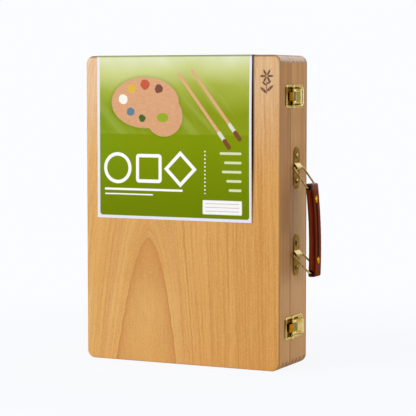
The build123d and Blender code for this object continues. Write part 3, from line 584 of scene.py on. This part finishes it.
def palette_plywood():
    """Pale plywood: long soft figure along Z on the faces, plies across its sawn edge."""
    finish = Finish("palette_plywood")
    x, y, z = finish.where()
    figure = finish.noise(x * 0.05, y * 0.1, z * 0.008 + 4.0, 3.0, 0.55)
    lines = finish.noise(x * 0.5 + figure * 6, y, z * 0.012, 3.0, 0.6)
    fibre = finish.noise(x * 2.5, y * 2.5, z * 0.08, 3.0, 0.6)
    colour = finish.lay(finish.rise(figure, 0.35, 0.65), paint("E0B988"), paint("D2A26C"))
    colour = finish.lay(finish.rise(lines, 0.48, 0.75) * 0.5, colour, paint("C08C57"))
    colour = finish.lay(finish.rise(fibre, 0.5, 0.8) * 0.3, colour, paint("B07C4A"))
    edge_colour = sawn_plies(finish, y, palette_face_y, (0.36, 0.46), "C59B68", "7E5833")
    colour = finish.lay(finish.fall(finish.facing(1), 0.1, 0.5), colour, edge_colour)
    return finish.surface({"Base Color": colour, "Roughness": 0.55 + 0.12 * fibre,
                           "Normal": finish.relief(fibre, 0.00008), "Specular IOR Level": 0.35})


palette_plywood().put_on("palette")


# ------------------------------------------------------------ draw latches
# Each latch is stamped from bright plated brass: a rimmed plate with a lever riveted into its
# ears, and a rimmed strike that the hasp hooks behind. Painted shade darkens the pockets of the
# stampings, with painted orange and olive reflections there and on the lever's ribs.
latch_half = 13.75
latch_heights = (49.0, 326.0)
between_latches = (180.0, 190.0)
lever_ribs = (-6.8, 6.8)
brass_tint = (0.92, 0.72, 0.36, 1)


def brass(name, bright, dull, film_and_shade, rough, lines=(0.2, 3.0, 0.2), seed=0.0, marks_and_painted_light=None):
    """Brass with a dull tarnish over a share of it. Its polishing lines are closest along the axis
    with the largest of lines; the last argument adds the piece's painted shade and reflections."""
    finish = Finish(name)
    x, y, z = finish.where()
    cloud = finish.noise(x * 0.22, y * 0.22 + seed, z * 0.22, 3.0, 0.6)
    speck = finish.noise(x * 1.6, y * 1.6, z * 1.6 + seed, 3.0, 0.65)
    polish = finish.noise(x * lines[0] * 6, y * lines[1] * 6, z * lines[2] * 6, 2.0, 0.6)
    share = finish.rise(cloud * 0.7 + speck * 0.3, 0.62 - film_and_shade * 0.4, 0.86 - film_and_shade * 0.3)
    colour = finish.lay(share, paint(bright), paint(dull))
    colour = finish.lay(finish.rise(speck, 0.62, 0.8) * 0.35, colour, paint("6E5424"))
    if marks_and_painted_light:
        colour = marks_and_painted_light(finish, x, y, z, colour)
    return finish.surface({
        "Base Color": colour, "Metallic": 1.0, "Specular Tint": brass_tint,
        "Roughness": rough + 0.10 * share + 0.08 * polish,
        "Normal": finish.relief(polish * 0.6 + speck * 0.4, 0.00003)})


def up_from_nearer(z, heights):
    """Height above the nearer of two heights."""
    lower, upper = heights
    return z - lower - z.worked("GREATER_THAN", z, (lower + upper) / 2) * (upper - lower)


def pocket_painted_shade(finish, x, y, z, colour):
    """Painted shade on the floors of the pockets: near black, with painted orange and olive reflections."""
    up = up_from_nearer(z, latch_heights)
    past_seam = y - seam_y
    floor = finish.fall(x - box_half_width, 1.0, 1.7)
    inside = finish.fall(abs(up), latch_half - 3.2, latch_half - 2.4)
    under_lever = finish.fall(past_seam, 21.0, 27.0)
    less_shaded_strip = finish.stretch(past_seam, 1.2, 2.6, 5.0, 6.5)
    # painted orange reflection over part of the painted pocket shade
    orange_reflection_share = finish.rise(finish.noise(x, y * 0.5, z * 0.35, 2.0), 0.5, 0.72) * 0.7
    film_and_shade = finish.lay(orange_reflection_share, paint("180A02"), paint("9A5A0C"))
    film_and_shade = finish.lay(finish.rise(-up, 5.0, 8.0) * 0.5, film_and_shade, paint("481000"))
    film_and_shade = finish.lay(finish.stretch(up, 6.0, 6.8, 8.2, 9.0) * 0.6, film_and_shade, paint("8A6424"))
    film_and_shade = finish.lay(finish.rise(-past_seam, 7.0, 9.5) * 0.8, film_and_shade, paint("B08C48"))
    colour = finish.lay(floor * inside * under_lever * (0.98 - 0.70 * less_shaded_strip), colour, film_and_shade)
    # painted shade on the strike's front rim, deeper higher up
    front_rim = finish.rise(-past_seam, 12.4, 14.0) * inside
    dirt_and_shade = 0.30 + 0.55 * finish.rise(up, -4.0, 6.0)
    return finish.lay(front_rim * dirt_and_shade, colour, paint("8A6420"))


def lever_painted_reflection_and_shade(finish, x, y, z, colour):
    """Painted orange reflection down each rib's upper flank, and painted shade in dark lines at the plate's
    long edges.
    """
    up = up_from_nearer(z, latch_heights)
    on_ribs = sum(finish.stretch(up, rib - 0.2, rib + 0.4, rib + 1.4, rib + 2.0) for rib in lever_ribs)
    along = finish.stretch(y - seam_y, 7.0, 8.5, 18.0, 20.0)
    # painted orange reflection on the ribs' upper flanks
    colour = finish.lay(on_ribs * along * 0.92, colour, paint("D8840C"))
    stripes = finish.rise(finish.noise(y * 0.9, 4.0, z * 0.05, 1.0), 0.42, 0.6)
    # painted shade along the plate's long edges
    edges = finish.rise(abs(up), 8.5, 9.1) * (0.45 + 0.4 * stripes)
    return finish.lay(edges, colour, paint("4E4212"))


def hasp_painted_shade(finish, x, y, z, colour):
    """Painted shade: black at the claw, weaker on the lower latch, and olive with dark lines in the lever's
    slot.
    """
    past_seam = y - seam_y
    stripes = finish.rise(finish.noise(past_seam * 0.62, 2.0, z * 0.04, 1.0), 0.40, 0.62)
    in_slot = finish.lay(stripes, paint("D2C48C"), paint("8C7A40"))
    colour = finish.lay(finish.rise(past_seam, -1.0, 1.2), colour, in_slot)
    on_upper = finish.rise(z, *between_latches)
    # painted shade at the claw, weaker on the lower latch
    claw = finish.fall(past_seam, -10.4, -8.6) * (0.25 + 0.75 * on_upper)
    return finish.lay(claw, colour, paint("2A1606"))


brass("latch_brass", "FFF0AC", "D2B858", 0.15, 0.08, marks_and_painted_light=pocket_painted_shade).put_on(
    "latch_plate_lower", "latch_plate_upper", "latch_strike_lower", "latch_strike_upper")
brass("lever_brass", "FCEAA0", "BEAA52", 0.35, 0.12, marks_and_painted_light=lever_painted_reflection_and_shade).put_on(
    "latch_lever_lower", "latch_lever_upper")
brass("hasp_brass", "E8A030", "B46C10", 0.4, 0.16, marks_and_painted_light=hasp_painted_shade).put_on(
    "latch_hasp_lower", "latch_hasp_upper")
brass("pin_brass", "E2D48E", "A08440", 0.3, 0.2, seed=4.0).put_on(
    "hasp_pin_lower", "hasp_pin_upper", "latch_rivets_lower", "latch_rivets_upper")
brass("screw_brass", "E0C478", "8A7034", 0.5, 0.14, seed=2.0).put_on("latch_plate_screws")
# The strike's screws are painted dark: painted shade in the strike's recess.
brass("shaded_strike_screw_brass", "6A4A20", "2E1806", 0.5, 0.24, seed=2.0).put_on("strike_screws")


# ------------------------------------------------------------------ handle
# A round-ended plate is screwed on at each end of the handle, with a bridge pressed up over the
# bail's bar. The flat of the plate is dull and olive, the bridge carries a painted highlight, and
# painted shade blackens the tunnel. The bails are bent from brass wire.
handle_y = 8.0
bail_bar_x, bail_bar_heights = 132.8, (135.7, 241.0)


def plate_painted_light(finish, x, y, z, colour):
    """Painted highlight on the bridge, painted black shade round the bail's bar, olive on the plate's edges.
    """
    from_middle = abs(y - handle_y)
    raised = finish.rise(x - box_half_width, 1.05, 1.7)
    # painted highlight on the raised bridge
    colour = finish.lay(raised, colour, paint("FAE8B6"))
    up = up_from_nearer(z, bail_bar_heights)
    near_bar = finish.fall(distance(x - bail_bar_x, up), 1.5, 2.0)
    bridge_end = raised * finish.rise(finish.facing(1), 0.5, 0.8)
    bridge_mouth = raised * finish.rise(from_middle, 3.0, 5.5) * finish.rise(-up, 0.3, 1.2)
    # painted shade: black at the bar, at the bridge's ends and in its mouth
    black = larger(larger(near_bar, bridge_end), bridge_mouth)
    colour = finish.lay(black, colour, paint("0C0602"))
    edge = finish.rise(from_middle, 6.6, 8.3) * (1 - raised)
    return finish.lay(edge * 0.5, colour, paint("4E3C16"))


def dome_painted_shade(finish, x, y, z, colour):
    """Painted shade round the foot of each screw's dome."""
    return finish.lay(finish.fall(finish.facing(0), 0.50, 0.94), colour, paint("1A0E04"))


brass("plate_brass", "C29A64", "8A6C3E", 0.7, 0.30, seed=9.0, marks_and_painted_light=plate_painted_light).put_on(
    "handle_plate_lower", "handle_plate_upper")
brass("dome_brass", "E0BC74", "8A6A34", 0.5, 0.08, seed=2.0, marks_and_painted_light=dome_painted_shade).put_on("handle_screws")
brass("bail_brass", "DCC67A", "7E6C30", 0.55, 0.16, (3.0, 0.2, 0.2), 6.0).put_on(
    "bail_lower", "bail_upper")


# ------------------------------------------------------------- piano hinge
# A drawn brass piano hinge runs up the back edge, folded from two leaves round one wire pin and
# fixed with small countersunk screws.
brass("hinge_brass", "DCC27A", "A58C4C", 0.5, 0.28, (2.0, 2.0, 0.1), 7.0).put_on(
    "hinge_leaf_base", "hinge_leaf_lid", "hinge_pin", "hinge_screws_base", "hinge_screws_lid")


# ----------------------------------------------------------- leather grip
# The grip is a strip of red-brown bridle leather folded over a fibre core and glued, with its
# open seam along the outer face and an oval brass stud through each end. Bending has pressed
# long dark creases into it; a painted highlight lies along a ridge on each flank, and painted
# shade on its rounded edges.
grip_top = (150.5, 217.2)
grip_foot = (154.3, 115.2)
grip_bow, grip_reach = 2.4, 56.1
grip_seam_y = handle_y - 1.5


def bridle_leather():
    """Waxed leather: a fine pebbled grain, long creases along the bowed grip, a painted highlight on
    a ridge of each flank and painted shade on the rounded edges and in the wire's hollows. The grip's
    middle line leans from its foot to its top and bows outwards as a parabola."""
    finish = Finish("bridle_leather")
    x, y, z = finish.where()
    above = z - (grip_top[1] + grip_foot[1]) / 2
    lean = (grip_top[0] - grip_foot[0]) / (grip_top[1] - grip_foot[1])
    bow = 1 - (above / grip_reach) ** 2
    out = x - (above * lean + (grip_top[0] + grip_foot[0]) / 2 + bow * grip_bow)
    bent = out + (finish.noise(z * 0.03, 2.0, 5.0, 1.0) - 0.5) * 1.2
    pebble = finish.cells(x * 1.5, y * 1.5, z * 1.1)
    crease = finish.noise(bent * 1.1, y * 0.5, z * 0.02, 3.0, 0.6)
    mottle = finish.noise(x * 0.16, y * 0.16, z * 0.07, 3.0, 0.6)
    outer = finish.rise(finish.outward()[0], 0.45, 0.8)
    flank = 1 - outer
    colour = finish.lay(finish.rise(mottle, 0.35, 0.68), paint("5A1402"), paint("681E06"))
    colour = finish.lay(outer, colour, paint("7E2E04"))
    # painted highlight along a ridge on each flank
    painted_ridge_highlight = finish.fall(abs(bent + 1.1), 0.8, 2.3)
    colour = finish.lay(painted_ridge_highlight * flank * 0.85, colour, paint("7A3010"))
    # painted shade on the grip's rounded edges
    flank_edges = larger(finish.rise(bent, 1.6, 3.2), finish.fall(out, -3.2, -2.2))
    outer_edge = finish.fall(y - handle_y, -10.2, -6.2)
    painted_edge_shade = larger(flank_edges * flank, outer * outer_edge)
    colour = finish.lay(painted_edge_shade * 0.9, colour, paint("320200"))
    colour = finish.lay(finish.rise(crease, 0.54, 0.74) * 0.40, colour, paint("340500"))
    colour = finish.lay(finish.fall(crease, 0.26, 0.44) * 0.30, colour, paint("94421A"))
    seam = finish.fall(abs(y - grip_seam_y), 1.6, 3.4) * outer
    colour = finish.lay(seam * finish.stretch(z, 124.0, 127.0, 205.0, 208.0), colour, paint("100200"))
    # painted shade in the hollows where the wire enters each end
    wire_hollow_shade = smaller(distance(x - grip_top[0], z - grip_top[1]), distance(x - grip_foot[0], z - grip_foot[1]))
    colour = finish.lay(finish.fall(wire_hollow_shade, 2.8, 3.7), colour, paint("080100"))
    return finish.surface({
        "Base Color": colour, "Roughness": 0.46 + 0.14 * pebble,
        "Normal": finish.relief(pebble * 0.3 + crease * 0.7, 0.00040), "Specular IOR Level": 0.03,
        "Coat Weight": 0.7 * finish.rise(z, 212.0, 218.0), "Coat Roughness": 0.2})


bridle_leather().put_on("grip_leather")
brass("stud_brass", "D29C1C", "8A5E0C", 0.3, 0.10, seed=3.0).put_on("grip_studs")


def pressed_fibre():
    """Grey-brown pressed fibre with short hairs."""
    finish = Finish("pressed_fibre")
    x, y, z = finish.where()
    hair = finish.noise(x * 3, y * 3, z * 0.8, 4.0, 0.7)
    colour = finish.lay(finish.rise(hair, 0.35, 0.7), paint("8A6B4C"), paint("5C452F"))
    return finish.surface({"Base Color": colour, "Roughness": 0.8 + 0.1 * hair,
                           "Normal": finish.relief(hair, 0.0001)})


pressed_fibre().put_on("grip_core")


# -------------------------------------------------------------- label card
# A printed card sleeve runs down the lid and folds over its upper end. The print is a green
# ground with a white border, a palette with brushes, and plain outline shapes.
card_left, card_foot, card_head = -114.4, 176.0, 375.0
card_border, print_corner = 3.6, 3.6
crease_z = 279.0

# Stops of the green ground; the palest, at the top, are painted sheen.
print_greens_under_sheen = ((0.0, "667A00"), (0.25, "708400"), (0.5, "7C9004"), (0.65, "809004"),
                (0.80, "A2AE3C"), (0.90, "C6CE84"), (1.0, "DEE4C4"))
print_white = paint("F7F7FA")
card_painted_shade = paint("2A0A00")

# Each dab of paint has its middle, radius and colour, each brush its handle's end and ferrule.
paint_dabs = ((-78.0, 322.0, 6.0, "F1EEE4"), (-66.0, 335.0, 5.5, "D9B13B"),
              (-48.0, 340.0, 6.2, "C0573B"), (-29.0, 335.0, 5.4, "7A4A3A"),
              (-68.0, 307.0, 5.2, "5E7F95"), (-52.0, 299.0, 4.6, "44632F"))
brushes = (((-2.0, 352.0), (52.0, 282.0)), ((16.0, 356.0), (66.0, 292.0)))
shapes_z, outline_half = 238.0, 2.1
dots_x, dots_z, dots_half, dots_pitch = 33.0, 236.0, 27.0, 4.6
bars_right, bars_top, bars_pitch = 80.0, 258.0, 11.0
bar_lengths = (26.0, 20.0, 23.0, 17.0, 14.0)
box_lines_z, box_lines_pitch = 188.5, 4.5


class Print:
    """Shapes printed on the card, each given by the distance out from its outline."""

    def __init__(self, finish, x, z):
        self.finish, self.x, self.z = finish, x, z

    def dot(self, middle_x, middle_z, radius):
        """Round spot: the distance from its middle less its radius."""
        return distance(self.x - middle_x, self.z - middle_z) - radius

    def oval(self, middle_x, middle_z, half_wide, half_high):
        """Oval, as a share of its half width and half height."""
        return distance((self.x - middle_x) / half_wide, (self.z - middle_z) / half_high) - 1.0

    def panel(self, middle_x, middle_z, half_wide, half_high, corner):
        """Rounded rectangle: the distance from a smaller sharp one less the corner's radius."""
        out_x = abs(self.x - middle_x) - (half_wide - corner)
        out_z = abs(self.z - middle_z) - (half_high - corner)
        beyond = distance(larger(out_x, 0.0), larger(out_z, 0.0))
        return beyond + smaller(larger(out_x, out_z), 0.0) - corner

    def stroke(self, start, end, radius):
        """Round-ended line: the distance from the nearest point on it less its radius."""
        length = math.dist(start, end)
        way_x, way_z = (end[0] - start[0]) / length, (end[1] - start[1]) / length
        along = (self.x - start[0]) * way_x + (self.z - start[1]) * way_z
        along = smaller(larger(along, 0.0), length)
        return distance(self.x - start[0] - along * way_x, self.z - start[1] - along * way_z) - radius

    def ink(self, out, soft=0.35):
        """1 within an outline and 0 outside it, softened across the outline."""
        return self.finish.fall(out, -soft, soft)


def printed_ground(finish, x, z):
    """Green ground, paler upwards under a painted sheen, with a painted sheen just above a crease
    across it and slanting pale streaks above that.
    """
    height = (z - card_foot) / (card_head - card_foot)
    glow = finish.noise(x * 0.012, 0.0, z * 0.016 + 2.0, 2.0)
    streaks = finish.noise((x * 0.70 + z * 0.62) * 0.052, 3.0, (x * 0.62 - z * 0.70) * 0.006, 2.0, 0.55)
    stops = [(place, paint(code)) for place, code in print_greens_under_sheen]
    ground = finish.add("ShaderNodeValToRGB", {"stops": stops}, {0: height * 0.90 + glow * 0.16})
    above_crease = finish.rise(z, crease_z, crease_z + 1.6)
    # painted sheen just above the crease
    sheen_above_crease = above_crease * finish.fall(z, 283.0, 330.0)
    ground = finish.lay(sheen_above_crease * 0.18, ground, paint("A3B03C"))
    ground = finish.lay(finish.rise(streaks, 0.50, 0.74) * above_crease * 0.36, ground, paint("BECA72"))
    left = finish.fall(x, card_left, card_left + 60.0) * finish.stretch(z, 205.0, 250.0, 300.0, 350.0)
    return finish.lay(left * 0.40, ground, paint("6C9612"))


def printed_palette(finish, x, z, shapes, ground):
    """A painter's palette with dabs of paint, and two brushes beside it."""
    wood = finish.lay(finish.noise(x * 0.15, 0.0, z * 0.5, 2.0), paint("DDAF8A"), paint("C98F66"))
    board = smaller(shapes.oval(-48.0, 318.0, 46.0, 31.0) * 30.0, shapes.dot(-22.0, 302.0, 25.0))
    picture = finish.lay(shapes.ink(board - 1.6, 3.0) * 0.35, ground, paint("55700C"))
    picture = finish.lay(shapes.ink(board), picture, wood)
    thumb_hole = shapes.oval(-24.0, 300.0, 8.0, 5.5) * 6.0
    picture = finish.lay(shapes.ink(thumb_hole), picture, paint("93A92C"))
    for dab_x, dab_z, radius, code in paint_dabs:
        wobble = (finish.noise(x * 0.2, dab_x, z * 0.2, 1.0) - 0.5) * 3
        picture = finish.lay(shapes.ink(shapes.dot(dab_x, dab_z, radius) + wobble), picture, paint(code))
    for end, ferrule in brushes:
        length = math.dist(end, ferrule)
        way = ((ferrule[0] - end[0]) / length, (ferrule[1] - end[1]) / length)
        hair, tip = ((ferrule[0] + reach * way[0], ferrule[1] + reach * way[1]) for reach in (12, 21))
        for start, stop, radius, code in ((end, ferrule, 1.9, "D9A77E"), (ferrule, hair, 2.4, "D8D6CB"),
                                          (hair, tip, 2.9, "7C4A2C")):
            picture = finish.lay(shapes.ink(shapes.stroke(start, stop, radius)), picture, paint(code))
    return picture


def printed_outlines(finish, x, z, shapes, picture):
    """White ring, square and diamond over two rules, a dotted rule, short bars and a small white
    box with grey lines."""
    ring = abs(shapes.dot(-86.0, shapes_z, 17.0)) - outline_half
    square = abs(shapes.panel(-43.0, shapes_z, 15.5, 15.5, 2.0)) - outline_half
    diamond = abs((abs(x) + abs(z - shapes_z)) * math.sqrt(0.5) - 13.5) - outline_half
    picture = finish.lay(shapes.ink(smaller(smaller(ring, square), diamond)), picture, print_white)
    for rule_z, rule_end, radius in ((212.0, 2.0, 1.3), (206.0, -38.0, 0.8)):
        rule = shapes.stroke((-103.0, rule_z), (rule_end, rule_z), radius)
        picture = finish.lay(shapes.ink(rule), picture, print_white)
    from_dot = abs((z / dots_pitch) % 1.0 - 0.5) * dots_pitch
    dots = larger(distance(x - dots_x, from_dot) - 0.95, abs(z - dots_z) - dots_half)
    picture = finish.lay(shapes.ink(dots), picture, print_white)
    for row, length in enumerate(bar_lengths):
        bar_z = bars_top - row * bars_pitch
        bar = shapes.ink(shapes.stroke((bars_right - length, bar_z), (bars_right, bar_z), 1.5))
        picture = finish.lay(bar * 0.8, picture, paint("E6EBC8"))
    picture = finish.lay(shapes.ink(shapes.panel(56.0, 193.0, 26.0, 8.5, 1.2)), picture, paint("F2F2F2"))
    for row in range(3):
        line_z = box_lines_z + row * box_lines_pitch
        line = shapes.ink(shapes.stroke((34.0, line_z), (78.0, line_z), 0.45), 0.2)
        picture = finish.lay(line * 0.7, picture, paint("A3A5A0"))
    return picture


def label_card():
    """Coated card: the print within a white border, dark where it turns over the top, painted shade on its
    back, its bare right edge and the face's last strip by that edge, and soft ripples."""
    finish = Finish("label_print")
    x, y, z = finish.where()
    shapes = Print(finish, x, z)
    picture = printed_palette(finish, x, z, shapes, printed_ground(finish, x, z))
    picture = printed_outlines(finish, x, z, shapes, picture)

    # white border at the foot and both sides, with round lower corners to the print
    inset = card_border + print_corner
    inner_x = larger(abs(x - (card_left + card_right) / 2) - ((card_right - card_left) / 2 - inset), 0.0)
    inner_z = larger(card_foot + inset - z, 0.0)
    border = finish.rise(distance(inner_x, inner_z) - print_corner, -0.3, 0.3)
    paper = finish.lay(finish.noise(x * 0.3, y, z * 0.3, 3.0), paint("E6E7F8"), paint("DADAEC"))
    colour = finish.lay(border, picture, paper)
    on_fold = finish.rise(z, 372.4, 374.4) * finish.fall(y, -41.5, -39.0)
    colour = finish.lay(on_fold * 0.8, colour, paint("66740E"))
    right_way, back_way = finish.outward()[:2]
    # painted shade on the card's back and right edge, dark in the gap under it
    painted_back_and_edge_shade = larger(finish.rise(right_way, 0.6, 0.9), finish.rise(back_way, 0.3, 0.6))
    colour = finish.lay(painted_back_and_edge_shade, colour, card_painted_shade)
    # painted shade on the last strip of the face by its right edge
    colour = finish.lay(finish.rise(x, card_right - 0.75, card_right - 0.35), colour, card_painted_shade)
    ripple = finish.noise(x * 0.02, y * 0.02, z * 0.03, 2.0)
    tooth = finish.noise(x * 4, y * 4, z * 4, 2.0)
    return finish.surface({
        "Base Color": colour, "Roughness": 0.36 + 0.08 * tooth,
        "Normal": finish.relief(ripple + tooth * 0.01, 0.0010), "Specular IOR Level": 0.03,
        "Coat Weight": 0.55 * finish.rise(z, 300.0, 372.0), "Coat Roughness": 0.3})


label_card().put_on("label_card")
